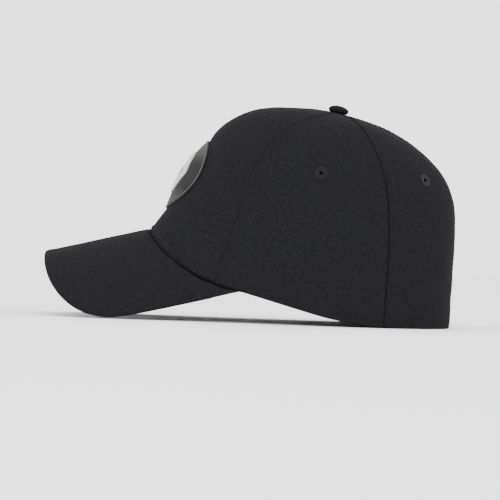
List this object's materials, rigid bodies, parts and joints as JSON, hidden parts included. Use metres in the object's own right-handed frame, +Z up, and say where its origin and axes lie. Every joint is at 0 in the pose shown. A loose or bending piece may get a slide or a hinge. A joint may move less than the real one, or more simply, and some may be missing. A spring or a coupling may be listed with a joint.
{
  "type": "bump cap",
  "caption": "Baseball-style bump cap: fabric panels and a curved peak over a removable vented impact shell with foam pads, and an internal hook-and-loop size strap.",
  "frame": {"origin": "middle of the cap's footprint on the surface it rests on", "axes": "+Z up, -Y towards the peak's tip (wearer's front), +X to the wearer's left"},
  "size_m": [0.1632, 0.284, 0.1513],
  "materials": {
    "cotton_twill": "matte black cotton twill",
    "seam_tape": "woven tape",
    "embroidery_thread": "satin-stitched thread",
    "rivet_steel": "plain steel",
    "badge_rubber": "soft moulded rubber with a light edge",
    "emblem_silver": "satin silver",
    "peak_board_plastic": "matte",
    "sweatband_fabric": "terry-backed cotton",
    "label_satin": "white satin, blank",
    "strap_webbing": "woven webbing",
    "loop_tape": "soft loop pile",
    "hook_tape": "hook field",
    "abs_plastic": "fine texture",
    "eva_foam": "closed-cell foam"
  },
  "bodies": {
    "cap": {"front_panel": "cotton_twill", "left_side_panel": "cotton_twill", "right_side_panel": "cotton_twill", "left_rear_panel": "cotton_twill", "right_rear_panel": "cotton_twill", "left_front_seam_tape": "seam_tape", "right_front_seam_tape": "seam_tape", "left_rear_seam_tape": "seam_tape", "right_rear_seam_tape": "seam_tape", "centre_back_seam_tape": "seam_tape", "top_button": "cotton_twill", "button_rivet": "rivet_steel", "left_side_eyelet": "embroidery_thread", "right_side_eyelet": "embroidery_thread", "left_rear_eyelet": "embroidery_thread", "right_rear_eyelet": "embroidery_thread", "front_badge": "badge_rubber", "badge_emblem": "emblem_silver", "peak_board": "peak_board_plastic", "peak_top_cover": "cotton_twill", "peak_under_cover": "cotton_twill", "sweatband": "sweatband_fabric", "care_label": "label_satin", "strap_anchor": "strap_webbing", "strap_loop_tape": "loop_tape", "front_crown_loop_disc": "loop_tape", "left_crown_loop_disc": "loop_tape", "right_crown_loop_disc": "loop_tape"},
    "insert": {"abs_shell": "abs_plastic", "crown_pad": "eva_foam", "brow_pad": "eva_foam", "left_side_pad": "eva_foam", "right_side_pad": "eva_foam", "rear_pad": "eva_foam", "front_shell_hook_disc": "hook_tape", "left_shell_hook_disc": "hook_tape", "right_shell_hook_disc": "hook_tape"},
    "size_strap": {"strap_flap": "strap_webbing", "strap_hook_tape": "hook_tape"}
  },
  "joints": [
    {"name": "insert_slide", "type": "slide", "parent": "cap", "child": "insert", "axis": [0, -0.1736, -0.9848], "range_m": [0, 0.15]},
    {"name": "size_strap_peel", "type": "hinge", "parent": "cap", "child": "size_strap", "pos_m": [0.02844, 0.12927, 0.01488], "axis": [-0.0399, 0.0436, 0.9983], "range_deg": [0, 85]}
  ]
}
